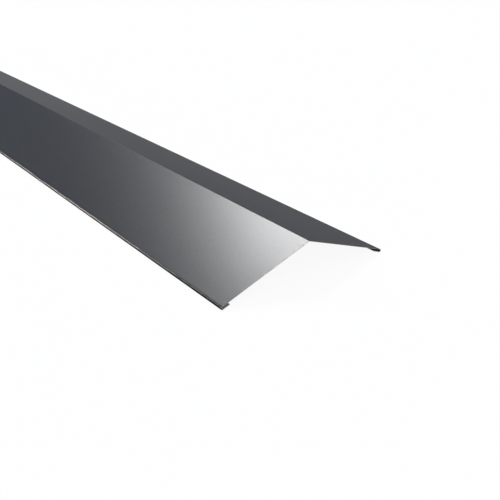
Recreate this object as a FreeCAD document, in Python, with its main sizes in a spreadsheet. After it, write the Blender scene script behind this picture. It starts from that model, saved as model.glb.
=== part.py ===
"""Roof ridge cap: one strip of coated steel sheet, folded along the ridge and hemmed along both eave edges.

The strip is bent once down its middle, so that its two flanges fall away from the ridge at the pitch of the roof.
Each long edge is then turned back under its flange as an open hem, which stiffens the edge and carries the cap.
X runs along the ridge, Y across it and Z up. The origin is under the middle of the cap, on the level that it stands on.
"""

import FreeCAD
import Part
import Sketcher
import math
import os

# Driving sizes in millimetres and degrees: alias, value, what it measures
SIZES = [
    ("sheet_length", 2000.0, "length of the cap along the ridge"),
    ("flange_width", 150.0, "down the slope, from the ridge line to the outside of the hem fold"),
    ("flange_slope", 20.0, "fall of each flange from level, in degrees"),
    ("sheet_thickness", 0.5, "coated sheet"),
    ("ridge_bend_radius", 1.0, "inside radius of the ridge bend"),
    ("hem_depth", 13.5, "from the outside of the hem fold to the cut edge of the sheet"),
    ("hem_gap", 3.5, "clear gap inside the hem"),
]

# A sketch counts the points of a line or an arc up from its start, and its own axes down from the level one
START = 1
END = START + 1
CENTRE = END + 1
LEVEL_AXIS = -1
UPRIGHT_AXIS = LEVEL_AXIS - 1
ORIGIN_POINT = (LEVEL_AXIS, START)


def write_sizes(doc):
    """The sheet of driving sizes, and the same values by name."""
    sheet = doc.addObject("Spreadsheet::Sheet", "sizes")
    for row, (alias, value, meaning) in enumerate(SIZES, start=1):
        sheet.set(f"A{row}", alias)
        sheet.set(f"B{row}", str(value))
        sheet.set(f"C{row}", meaning)
        sheet.setAlias(f"B{row}", alias)
    doc.recompute()
    return {alias: float(sheet.get(alias)) for alias, _, _ in SIZES}


def origin_plane(body, role):
    """One of the body's own origin planes."""
    return next(plane for plane in body.Origin.OriginFeatures if plane.Role == role)


def arc(centre, radius, start_angle, end_angle):
    circle = Part.Circle(centre, FreeCAD.Vector(0, 0, 1), radius)
    return Part.ArcOfCircle(circle, start_angle, end_angle)


def section_geometry(size):
    """The outline of half the folded section, from the ridge out to the hem, and the flange's construction line."""
    slope = math.radians(size["flange_slope"])
    down_slope = FreeCAD.Vector(math.cos(slope), -math.sin(slope), 0)
    outward = FreeCAD.Vector(math.sin(slope), math.cos(slope), 0)
    upright = math.pi / 2
    outward_angle = upright - slope

    fold_inside = size["hem_gap"] / 2
    fold_outside = fold_inside + size["sheet_thickness"]
    ridge_inside = size["ridge_bend_radius"]
    ridge_outside = ridge_inside + size["sheet_thickness"]

    to_fold = down_slope * (size["flange_width"] - fold_outside) - outward * fold_outside
    apex = FreeCAD.Vector(0, fold_outside - to_fold.y, 0)
    fold = apex + to_fold
    ridge = apex - FreeCAD.Vector(0, ridge_outside / math.cos(slope), 0)

    ridge_top = ridge + FreeCAD.Vector(0, ridge_outside, 0)
    ridge_under = ridge + FreeCAD.Vector(0, ridge_inside, 0)
    fold_top = fold + outward * fold_outside
    leaf_under = fold - outward * fold_outside
    cut_under = leaf_under - down_slope * (size["hem_depth"] - fold_outside)
    cut_top = cut_under + outward * size["sheet_thickness"]

    return {
        "ridge_outer": arc(ridge, ridge_outside, outward_angle, upright),
        "flange_outer": Part.LineSegment(ridge + outward * ridge_outside, fold_top),
        "fold_outer": arc(fold, fold_outside, outward_angle - math.pi, outward_angle),
        "leaf_outer": Part.LineSegment(leaf_under, cut_under),
        "cut_edge": Part.LineSegment(cut_under, cut_top),
        "leaf_inner": Part.LineSegment(cut_top, fold - outward * fold_inside),
        "fold_inner": arc(fold, fold_inside, outward_angle - math.pi, outward_angle),
        "flange_inner": Part.LineSegment(fold + outward * fold_inside, ridge + outward * ridge_inside),
        "ridge_inner": arc(ridge, ridge_inside, outward_angle, upright),
        "mid_plane": Part.LineSegment(ridge_under, ridge_top),
        "flange_face": Part.LineSegment(apex, fold_top),
    }


def draw_section(sketch, size):
    """Draws half the section and ties every size in it to the sheet of sizes."""
    geometry = section_geometry(size)
    number = {name: sketch.addGeometry(shape, name == "flange_face") for name, shape in geometry.items()}

    def hold(kind, *values):
        terms = [number.get(value, value) for value in values]
        return sketch.addConstraint(Sketcher.Constraint(kind, *terms))

    def size_of(constraint, expression):
        sketch.setExpression(f"Constraints[{constraint}]", expression)

    # The outline runs round the sheet without a break, smooth at every bend
    hold("Tangent", "ridge_outer", START, "flange_outer", START)
    hold("Tangent", "flange_outer", END, "fold_outer", END)
    hold("Tangent", "fold_outer", START, "leaf_outer", START)
    hold("Coincident", "leaf_outer", END, "cut_edge", START)
    hold("Coincident", "cut_edge", END, "leaf_inner", START)
    hold("Tangent", "leaf_inner", END, "fold_inner", START)
    hold("Tangent", "fold_inner", END, "flange_inner", START)
    hold("Tangent", "flange_inner", END, "ridge_inner", START)
    hold("Coincident", "ridge_inner", END, "mid_plane", START)
    hold("Coincident", "mid_plane", END, "ridge_outer", END)

    # One thickness all the way: bends share their centres, and the two faces of the sheet run parallel
    hold("Coincident", "ridge_outer", CENTRE, "ridge_inner", CENTRE)
    hold("Coincident", "fold_outer", CENTRE, "fold_inner", CENTRE)
    hold("Parallel", "flange_inner", "flange_outer")
    hold("Parallel", "leaf_inner", "leaf_outer")
    hold("Perpendicular", "cut_edge", "leaf_outer")

    # The hem is turned right back, parallel to the flange above it
    hold("Parallel", "leaf_outer", "flange_outer")

    # The ridge is on the middle of the cap
    hold("PointOnObject", "ridge_outer", CENTRE, UPRIGHT_AXIS)
    hold("PointOnObject", "mid_plane", START, UPRIGHT_AXIS)
    hold("PointOnObject", "mid_plane", END, UPRIGHT_AXIS)
    hold("PointOnObject", "flange_face", START, UPRIGHT_AXIS)
    hold("Coincident", "flange_face", END, "flange_outer", END)
    hold("Parallel", "flange_face", "flange_outer")

    # Sizes. The flange and the hem are measured to the outside of the fold, and the fold stands on the level
    fold_outside = size["hem_gap"] / 2 + size["sheet_thickness"]
    outside = "(sizes.hem_gap / 2 + sizes.sheet_thickness)"
    size_of(hold("Radius", "ridge_inner", size["ridge_bend_radius"]), "sizes.ridge_bend_radius")
    size_of(hold("Radius", "fold_inner", size["hem_gap"] / 2), "sizes.hem_gap / 2")
    size_of(hold("Distance", "cut_edge", size["sheet_thickness"]), "sizes.sheet_thickness")
    size_of(hold("Distance", "flange_face", size["flange_width"] - fold_outside),
            f"sizes.flange_width - {outside}")
    size_of(hold("Distance", "leaf_outer", size["hem_depth"] - fold_outside),
            f"sizes.hem_depth - {outside}")
    size_of(hold("Angle", "flange_face", -math.radians(size["flange_slope"])), "-sizes.flange_slope * 1 deg")
    size_of(hold("DistanceY", *ORIGIN_POINT, "fold_outer", CENTRE, fold_outside), outside)


def ridge_cap(doc, size):
    """The folded sheet: half the section run along the ridge, and mirrored about the ridge."""
    body = doc.addObject("PartDesign::Body", "ridge_cap")
    body.Label = "ridge_cap"

    section = body.newObject("Sketcher::SketchObject", "half_section")
    section.AttachmentSupport = [(origin_plane(body, "YZ_Plane"), "")]
    section.MapMode = "FlatFace"
    draw_section(section, size)
    doc.recompute()

    half = body.newObject("PartDesign::Pad", "half_sheet")
    half.Profile = section
    half.SideType = "Symmetric"
    half.setExpression("Length", "sizes.sheet_length")
    doc.recompute()

    whole = body.newObject("PartDesign::Mirrored", "whole_sheet")
    whole.Originals = [half]
    whole.MirrorPlane = (origin_plane(body, "XZ_Plane"), [""])
    whole.Refine = True
    body.Tip = whole
    return body


def check(doc, pieces):
    """Stops if anything in the document failed, a sketch is loose, or a piece is not one sound closed solid."""
    for item in doc.Objects:
        if "Invalid" in item.State or "Error" in item.State:
            raise RuntimeError(f"{item.Label} did not build: {item.State}")
        if item.isDerivedFrom("Sketcher::SketchObject") and not item.FullyConstrained:
            raise RuntimeError(f"{item.Label} is not fully constrained")
    for piece in pieces:
        if piece.Shape.isNull() or not piece.Shape.isValid() or len(piece.Shape.Solids) != 1:
            raise RuntimeError(f"{piece.Label} is not one valid solid")


def main():
    doc = FreeCAD.newDocument("ridge_cap")
    size = write_sizes(doc)
    pieces = [ridge_cap(doc, size)]
    doc.recompute()
    check(doc, pieces)

    os.makedirs("parts", exist_ok=True)
    for piece in pieces:
        piece.Shape.exportStep(f"parts/{piece.Label}.step")
        box = piece.Shape.BoundBox
        print(piece.Label, "volume", round(piece.Shape.Volume, 1), "faces", len(piece.Shape.Faces))
        print("  from", [round(v, 3) for v in (box.XMin, box.YMin, box.ZMin)])
        print("  to  ", [round(v, 3) for v in (box.XMax, box.YMax, box.ZMax)])


main()
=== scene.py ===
"""The looks of a roof ridge cap: one folded strip of coated steel sheet, on a white studio floor."""

import bpy
import math
from mathutils import Matrix, Vector


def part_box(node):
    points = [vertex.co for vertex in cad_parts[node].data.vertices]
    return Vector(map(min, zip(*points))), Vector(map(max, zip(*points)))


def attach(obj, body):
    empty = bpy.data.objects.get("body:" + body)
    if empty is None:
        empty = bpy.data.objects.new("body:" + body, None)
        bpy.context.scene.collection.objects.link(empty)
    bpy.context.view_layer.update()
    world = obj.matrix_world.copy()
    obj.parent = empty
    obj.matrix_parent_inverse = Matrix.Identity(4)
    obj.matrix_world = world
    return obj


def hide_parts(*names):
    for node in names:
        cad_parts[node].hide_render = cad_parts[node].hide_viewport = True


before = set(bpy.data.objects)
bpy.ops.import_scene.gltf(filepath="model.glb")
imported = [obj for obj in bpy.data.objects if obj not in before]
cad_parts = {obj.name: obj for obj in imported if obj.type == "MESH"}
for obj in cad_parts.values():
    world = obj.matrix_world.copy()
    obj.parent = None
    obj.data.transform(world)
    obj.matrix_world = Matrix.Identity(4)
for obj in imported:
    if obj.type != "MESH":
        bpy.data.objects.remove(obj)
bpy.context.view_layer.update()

# The camera
# It stands past the near end of the cap, out beside the flange that shows whole. It looks back and down along
# the ridge, tipped a little to one side, and the left edge of its view cuts off the far end of the cap.
cap_low, cap_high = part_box("ridge_cap")

past_near_end = 0.5955
beside_ridge = 0.5591
above_floor = 0.4300
heading = math.radians(52.19)
looks_down = math.radians(25.571)
roll = math.radians(0.77)
lens_mm = 50
film_mm = 36
upright = math.pi / 2

camera = bpy.data.objects.new("camera", bpy.data.cameras.new("camera"))
bpy.context.scene.collection.objects.link(camera)
camera.data.lens = lens_mm
camera.data.sensor_width = film_mm
stands_at = Matrix.Translation((cap_high.x + past_near_end, -beside_ridge, above_floor))
turned = Matrix.Rotation(heading, 4, "Z") @ Matrix.Rotation(upright - looks_down, 4, "X")
camera.matrix_world = stands_at @ turned @ Matrix.Rotation(roll, 4, "Z")
bpy.context.scene.camera = camera


# The folded sheet
# A strip of 0.5 mm steel, bent down its middle on a folding machine, with both long edges turned back under
# it as open hems. It is coated before it is cut, so the cut edges show bare metal. It rests on its two hems.
flange_width = 0.150
flange_slope = math.radians(20)
sheet_thickness = 0.0005
ridge_bend_radius = 0.001
hem_depth = 0.0135
hem_gap = 0.0035
cut_edge_rounding = 0.00006

# The folding beam presses a fine flat line along the outside of each hem, between these two directions of
# the fold. Round the rest of the fold, and on the flange for this far beside it, the coat is painted darker
# as painted shade
pressed_from = math.radians(60)
pressed_to = math.radians(51.5)
fold_shade_on_flange = 0.001

ridge_bend_steps = 6
fold_steps_above = 4
fold_steps_below = 25
rounding_steps = 3

down_slope = Vector((math.cos(flange_slope), -math.sin(flange_slope)))
outward = Vector((math.sin(flange_slope), math.cos(flange_slope)))
fold_outside = hem_gap / 2 + sheet_thickness
ridge_outside = ridge_bend_radius + sheet_thickness
fold_centre = Vector((cap_high.y - fold_outside, cap_low.z + fold_outside))
ridge_line = fold_centre - down_slope * (flange_width - fold_outside) + outward * fold_outside
ridge_centre = ridge_line - Vector((0, ridge_outside / math.cos(flange_slope)))
fold_from = upright - flange_slope
fold_to = fold_from - math.pi


def bend(centre, radius, start, end, steps):
    """Points round a bend, each with the direction that its coated face looks in."""
    around = [start + (end - start) * step / steps for step in range(steps + 1)]
    facing = [Vector((math.cos(angle), math.sin(angle))) for angle in around]
    return [(centre + radius * normal, normal) for normal in facing]


def mirrored(point):
    """A place or a direction in the section, on the other side of the ridge."""
    return Vector((-point.x, point.y))


# Half the coated face as points round the section, from the ridge out to the cut edge of the hem, and the
# finish of each strip between two of them
# Round the folds the strips carry painted shade on both faces, and the flat line a painted highlight
COATED, FOLD_SHADE, PRESSED_HIGHLIGHT, BACK, CREASE_SHADE, CUT = range(6)
half_face = bend(ridge_centre, ridge_outside, upright, fold_from, ridge_bend_steps)
above_pressed = bend(fold_centre, fold_outside, fold_from, pressed_from, fold_steps_above)
fold_top, _ = above_pressed[0]
half_face += [(fold_top - down_slope * fold_shade_on_flange, outward)] + above_pressed
below_pressed = bend(fold_centre, fold_outside, pressed_to, fold_to, fold_steps_below)
leaf_start, _ = below_pressed[-1]
leaf_length = hem_depth - fold_outside - cut_edge_rounding
half_face += below_pressed + [(leaf_start - down_slope * leaf_length, -outward)]
half_strips = [COATED] * (ridge_bend_steps + 1)
half_strips += [FOLD_SHADE] * (fold_steps_above + 1) + [PRESSED_HIGHLIGHT] + [FOLD_SHADE] * fold_steps_below + [COATED]

other_half = [(mirrored(place), mirrored(normal)) for place, normal in reversed(half_face[1:])]
coated_face = other_half + half_face
coated_strips = half_strips[::-1] + half_strips
back_face = [(place - sheet_thickness * normal, -normal) for place, normal in coated_face]
# Behind the fold strips the back face carries painted shade
back_strips = [BACK if strip == COATED else CREASE_SHADE for strip in coated_strips]

# Every corner of the cut edges is rounded in a quarter turn
quarter_turn = [upright * step / rounding_steps for step in range(rounding_steps + 1)]


def rounded_corner(place, normal, along):
    """Points round a corner of the cut edge, from a face of the sheet to the cut."""
    centre = place - normal * cut_edge_rounding
    facing = [normal * math.cos(angle) + along * math.sin(angle) for angle in quarter_turn[1:]]
    return [(centre + direction * cut_edge_rounding, direction) for direction in facing]


def long_cut(coated_end, back_end, along):
    """The cut edge along a hem, from the coated face to the back."""
    return rounded_corner(*coated_end, along) + rounded_corner(*back_end, along)[::-1]


# The whole outline of the section runs over the top, round one hem, back underneath and round the other hem
right_cut = long_cut(coated_face[-1], back_face[-1], -down_slope)
left_cut = long_cut(coated_face[0], back_face[0], mirrored(-down_slope))
outline = coated_face + right_cut + back_face[::-1] + left_cut[::-1]
cut_strips = [CUT] * (len(right_cut) + 1)
outline_strips = coated_strips + cut_strips + back_strips[::-1] + cut_strips

# Rings of points along the cap: at each end they draw in by the rounding of its cut edge
rings = []
for end, side in ((cap_low.x, -1), (cap_high.x, 1)):
    for angle in quarter_turn[::side]:
        along_ridge = end - side * cut_edge_rounding * (1 - math.sin(angle))
        drawn_in = cut_edge_rounding * (1 - math.cos(angle))
        rings.append((along_ridge, drawn_in, side * math.sin(angle), math.cos(angle)))

# On the last ring at each end the corners of the long cuts draw in to single points. Points that agree to a
# tenth of a micrometre are kept only once
same_place_digits = 7
points = []
point_normals = []
numbers = []
number_at = {}
for along_ridge, drawn_in, lengthwise, crosswise in rings:
    for place, normal in outline:
        across = place - normal * drawn_in
        point = (along_ridge, across.x, across.y)
        spot = tuple(round(distance, same_place_digits) for distance in point)
        if spot not in number_at:
            number_at[spot] = len(points)
            points.append(point)
            point_normals.append(Vector((lengthwise, normal.x * crosswise, normal.y * crosswise)))
        numbers.append(number_at[spot])

fewest_corners = 3
faces = []
finishes = []


def add_face(corners, finish):
    """Adds a face between points of the rings, unless it has drawn in to a line."""
    distinct = list(dict.fromkeys(numbers[corner] for corner in corners))
    if len(distinct) >= fewest_corners:
        faces.append(distinct)
        finishes.append(finish)


round_count = len(outline)
for ring in range(len(rings) - 1):
    low = ring * round_count
    high = low + round_count
    between_ends = ring == rounding_steps
    for index, strip in enumerate(outline_strips):
        following = (index + 1) % round_count
        corners = (low + index, high + index, high + following, low + following)
        add_face(corners, strip if between_ends else CUT)

# The two ends are filled across the thickness of the sheet
last_coated = len(coated_face) - 1
last_back = last_coated + len(right_cut) + len(back_face)
end_fillings = len(faces)
for ring, order in ((0, 1), (len(rings) - 1, -1)):
    base = ring * round_count
    for index in range(last_coated):
        opposite = last_back - index
        filling = (base + index, base + index + 1, base + opposite - 1, base + opposite)
        add_face(filling[::order], CUT)

sheet_mesh = bpy.data.meshes.new("folded_sheet")
sheet_mesh.from_pydata(points, [], faces)
sheet_mesh.polygons.foreach_set("material_index", finishes)
sheet_mesh.polygons.foreach_set("use_smooth", [True] * len(faces))
loop_normals = []
for polygon in sheet_mesh.polygons:
    flat = polygon.index >= end_fillings or polygon.material_index == PRESSED_HIGHLIGHT
    for vertex in polygon.vertices:
        loop_normals.append(polygon.normal.copy() if flat else point_normals[vertex])
sheet_mesh.normals_split_custom_set(loop_normals)
sheet_mesh.validate()

folded_sheet = bpy.data.objects.new("folded_sheet", sheet_mesh)
bpy.context.scene.collection.objects.link(folded_sheet)


class Wire:
    """One output of a node. Plain arithmetic on it, also with numbers, adds Math nodes."""

    def __init__(self, finish, socket):
        self.finish = finish
        self.socket = socket

    def maths(self, operation, first, second):
        terms = {"Value": first, "Value_001": second}
        return self.finish.node("Math", {"operation": operation}, terms)["Value"]

    def __add__(self, other):
        return self.maths("ADD", self, other)

    def __sub__(self, other):
        return self.maths("SUBTRACT", self, other)

    def __rsub__(self, other):
        return self.maths("SUBTRACT", other, self)

    def __mul__(self, other):
        return self.maths("MULTIPLY", self, other)

    __radd__ = __add__
    __rmul__ = __mul__


class Finish:
    """The nodes of a material or of the world. Every node is added by node()."""

    def __init__(self, owner):
        owner.use_nodes = True
        self.owner = owner
        self.tree = owner.node_tree
        self.tree.nodes.clear()

    def node(self, kind, settings, sockets):
        """Adds a node, sets it up, fills in or links its sockets, and gives its outputs by name."""
        made = self.tree.nodes.new("ShaderNode" + kind)
        for name, value in settings.items():
            if name == "stops":
                self.set_stops(made.color_ramp, value)
            else:
                setattr(made, name, value)
        inputs = {socket.identifier: socket for socket in made.inputs}
        for name, value in sockets.items():
            if isinstance(value, Wire):
                self.tree.links.new(value.socket, inputs[name])
            else:
                inputs[name].default_value = value
        return {socket.identifier: Wire(self, socket) for socket in made.outputs}

    @staticmethod
    def set_stops(ramp, stops):
        while len(ramp.elements) < len(stops):
            ramp.elements.new(1)
        for element, (position, colour) in zip(ramp.elements, stops):
            element.position = position
            element.color = colour


def on_the_sheet(finish, size):
    """Even noise, as fine as the given size in metres, from 0 to 1."""
    place = finish.node("TexCoord", {}, {})["Object"]
    return finish.node("TexNoise", {}, {"Vector": place, "Scale": 1 / size})["Fac"]


def between(finish, share, dark, light):
    """A colour that goes from dark to light as the share goes from 0 to 1."""
    ends = {"Factor_Float": share, "A_Color": dark, "B_Color": light}
    return finish.node("Mix", {"data_type": "RGBA"}, ends)["Result_Color"]


# The coat on top: satin graphite polyester with the fine grain of a rolled-on coat. It looks duller where it
# is seen at a very flat angle
graphite_light = (0.0318, 0.0336, 0.0382, 1)
graphite_dark = (0.0275, 0.0295, 0.0338, 1)
graphite_roughness = 0.316
grain_size = 0.0010
grain_height = 0.00004
grain_middle = 0.5
grain_roughness = 0.26
mottle_size = 0.06
dull_from = 0.70
dull_to = 0.80
dulling_most = 0.45

coat = Finish(bpy.data.materials.new("graphite_coat"))
grain = on_the_sheet(coat, grain_size)
mottle = on_the_sheet(coat, mottle_size)
seen_flat = coat.node("LayerWeight", {}, {})["Facing"]
dulling = coat.node("MapRange", {"interpolation_type": "SMOOTHSTEP"}, {
    "Value": seen_flat,
    "From Min": dull_from,
    "From Max": dull_to,
    "To Max": dulling_most})["Result"]
relief = coat.node("Bump", {}, {"Height": grain, "Distance": grain_height})["Normal"]
coat_surface = coat.node("BsdfPrincipled", {}, {
    "Base Color": between(coat, mottle, graphite_dark, graphite_light),
    "Roughness": graphite_roughness + (grain - grain_middle) * grain_roughness + dulling,
    "Normal": relief})
coat.node("OutputMaterial", {}, {"Surface": coat_surface["BSDF"]})


def uneven_finish(name, mark_size, dark, light, roughness, unevenness, even_sockets):
    """A finish whose colour and roughness vary together in marks of one size, and that is otherwise even."""
    finish = Finish(bpy.data.materials.new(name))
    marks = on_the_sheet(finish, mark_size)
    surface = finish.node("BsdfPrincipled", {}, {
        "Base Color": between(finish, marks, dark, light),
        "Roughness": roughness + marks * unevenness,
        **even_sockets})
    finish.node("OutputMaterial", {}, {"Surface": surface["BSDF"]})
    return finish


# Round the hems' folds the same coat is painted darker, as painted shade, and nearly matt
fold_shade_light = (0.009, 0.010, 0.012, 1)
fold_shade_dark = (0.006, 0.007, 0.008, 1)
fold_shade_roughness = 0.55
fold_shade_grain_roughness = 0.1
fold_shade_gloss = 0.1

fold_painted_shade = uneven_finish(
    "fold_painted_shade", grain_size, fold_shade_dark, fold_shade_light, fold_shade_roughness, fold_shade_grain_roughness,
    {"Specular IOR Level": fold_shade_gloss})

# The pressed line along each hem: a pale, partly metallic colour, which is a painted highlight and also
# reflects the side lamp
line_highlight_light = (0.82, 0.765, 0.68, 1)
line_highlight_dark = (0.64, 0.595, 0.525, 1)
line_highlight_size = 0.004
line_highlight_roughness = 0.24
line_highlight_unevenness = 0.08
line_highlight_metal = 0.6

painted_highlight_line = uneven_finish(
    "painted_highlight_line", line_highlight_size, line_highlight_dark, line_highlight_light, line_highlight_roughness, line_highlight_unevenness,
    {"Metallic": line_highlight_metal})

# The coat underneath: a thin beige back coat
back_light = (0.44, 0.40, 0.33, 1)
back_dark = (0.39, 0.355, 0.29, 1)
back_roughness = 0.5
back_grain_roughness = 0.1

back_coat = Finish(bpy.data.materials.new("beige_back_coat"))
cloud = on_the_sheet(back_coat, mottle_size)
back_grain = on_the_sheet(back_coat, grain_size)
back_relief = back_coat.node("Bump", {}, {"Height": back_grain, "Distance": grain_height})["Normal"]
back_surface = back_coat.node("BsdfPrincipled", {}, {
    "Base Color": between(back_coat, cloud, back_dark, back_light),
    "Roughness": back_roughness + (back_grain - grain_middle) * back_grain_roughness,
    "Normal": back_relief})
back_coat.node("OutputMaterial", {}, {"Surface": back_surface["BSDF"]})

# Inside the hems' folds the back coat is painted much darker and dull, as painted shade
crease_shade_light = (0.12, 0.11, 0.09, 1)
crease_shade_dark = (0.10, 0.09, 0.075, 1)
crease_shade_roughness = 0.6
crease_shade_gloss = 0.2

crease_painted_shade = uneven_finish(
    "back_coat_painted_shade", grain_size, crease_shade_dark, crease_shade_light, crease_shade_roughness, back_grain_roughness,
    {"Specular IOR Level": crease_shade_gloss})

# The cut edges: bare sheared steel between the two zinc coats
steel = (0.335, 0.315, 0.28, 1)
zinc = (0.355, 0.34, 0.31, 1)
shear_mark_size = 0.0004
shear_roughness = 0.46
shear_unevenness = 0.08
shear_metal = 0.8

cut_steel = uneven_finish(
    "cut_steel", shear_mark_size, steel, zinc, shear_roughness, shear_unevenness,
    {"Metallic": shear_metal})

# One material for each finish of the strips, in the same order
for finish in (coat, fold_painted_shade, painted_highlight_line, back_coat, crease_painted_shade, cut_steel):
    sheet_mesh.materials.append(finish.owner)

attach(folded_sheet, "root")
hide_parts("ridge_cap")


# The studio
# A wide white floor at the level that the hems stand on, in a room that is white low down and overhead. The
# lamps are all far off: one beyond the far end, one low beside that one, which the pressed line catches, and
# one behind the camera.
floor_half = 30
floor_white = (0.96, 0.96, 0.96, 1)
pure_white = (1, 1, 1, 1)
full_strength = 1.0
floor_own_light = 0.93

floor_mesh = bpy.data.meshes.new("floor")
round_the_floor = [(-1, -1), (1, -1), (1, 1), (-1, 1)]
floor_corners = [(x * floor_half, y * floor_half, cap_low.z) for x, y in round_the_floor]
floor_mesh.from_pydata(floor_corners, [], [(0, 1, 2, 3)])
floor = bpy.data.objects.new("floor", floor_mesh)
bpy.context.scene.collection.objects.link(floor)

# Where the floor is seen, also in a reflection, it shines by itself for the most part, so that it shows as
# white, with only a faint shadow
paper = Finish(bpy.data.materials.new("floor_white"))
rays = paper.node("LightPath", {}, {})
seen = rays["Is Camera Ray"] + rays["Is Glossy Ray"] + rays["Is Transmission Ray"]
lit = paper.node("BsdfDiffuse", {}, {"Color": floor_white})["BSDF"]
bright = paper.node("Emission", {}, {"Color": pure_white, "Strength": full_strength})["Emission"]
shown = paper.node("MixShader", {}, {
    "Fac": seen * floor_own_light,
    "Shader": lit,
    "Shader_001": bright})["Shader"]
paper.node("OutputMaterial", {}, {"Surface": shown})
floor_mesh.materials.append(paper.owner)

# The room's light by height, from the horizon at 0 to straight overhead at 1
dim_blue = (0.038, 0.060, 0.098, 1)
white_up_to = 0.09
dim_from = 0.17
dim_up_to = 0.80
white_from = 0.92
by_height = [(white_up_to, pure_white), (dim_from, dim_blue), (dim_up_to, dim_blue), (white_from, pure_white)]

bpy.context.scene.world = bpy.data.worlds.new("room")
room = Finish(bpy.context.scene.world)
direction = room.node("TexCoord", {}, {})["Generated"]
height = room.node("SeparateXYZ", {}, {"Vector": direction})["Z"]
level = room.node("ValToRGB", {"stops": by_height}, {"Fac": height})["Color"]
glow = room.node("Background", {}, {"Color": level, "Strength": full_strength})["Background"]
room.node("OutputWorld", {}, {"Surface": glow})


def soft_lamp(name, bearing, elevation, strength, softness):
    """A far lamp. Its bearing goes round from +X towards +Y, and all angles are in degrees."""
    lamp = bpy.data.objects.new(name, bpy.data.lights.new(name, "SUN"))
    bpy.context.scene.collection.objects.link(lamp)
    lamp.data.energy = strength
    lamp.data.angle = math.radians(softness)
    level_part = math.cos(math.radians(elevation))
    towards_lamp = Vector((
        level_part * math.cos(math.radians(bearing)),
        level_part * math.sin(math.radians(bearing)),
        math.sin(math.radians(elevation))))
    lamp.rotation_mode = "QUATERNION"
    lamp.rotation_quaternion = towards_lamp.to_track_quat("Z", "Y")


soft_lamp("far_lamp", bearing=158, elevation=45, strength=1.68, softness=16)
soft_lamp("side_lamp", bearing=195, elevation=26, strength=0.28, softness=10)
soft_lamp("near_lamp", bearing=-20, elevation=52, strength=0.9, softness=40)

bpy.context.scene.view_settings.view_transform = "Standard"
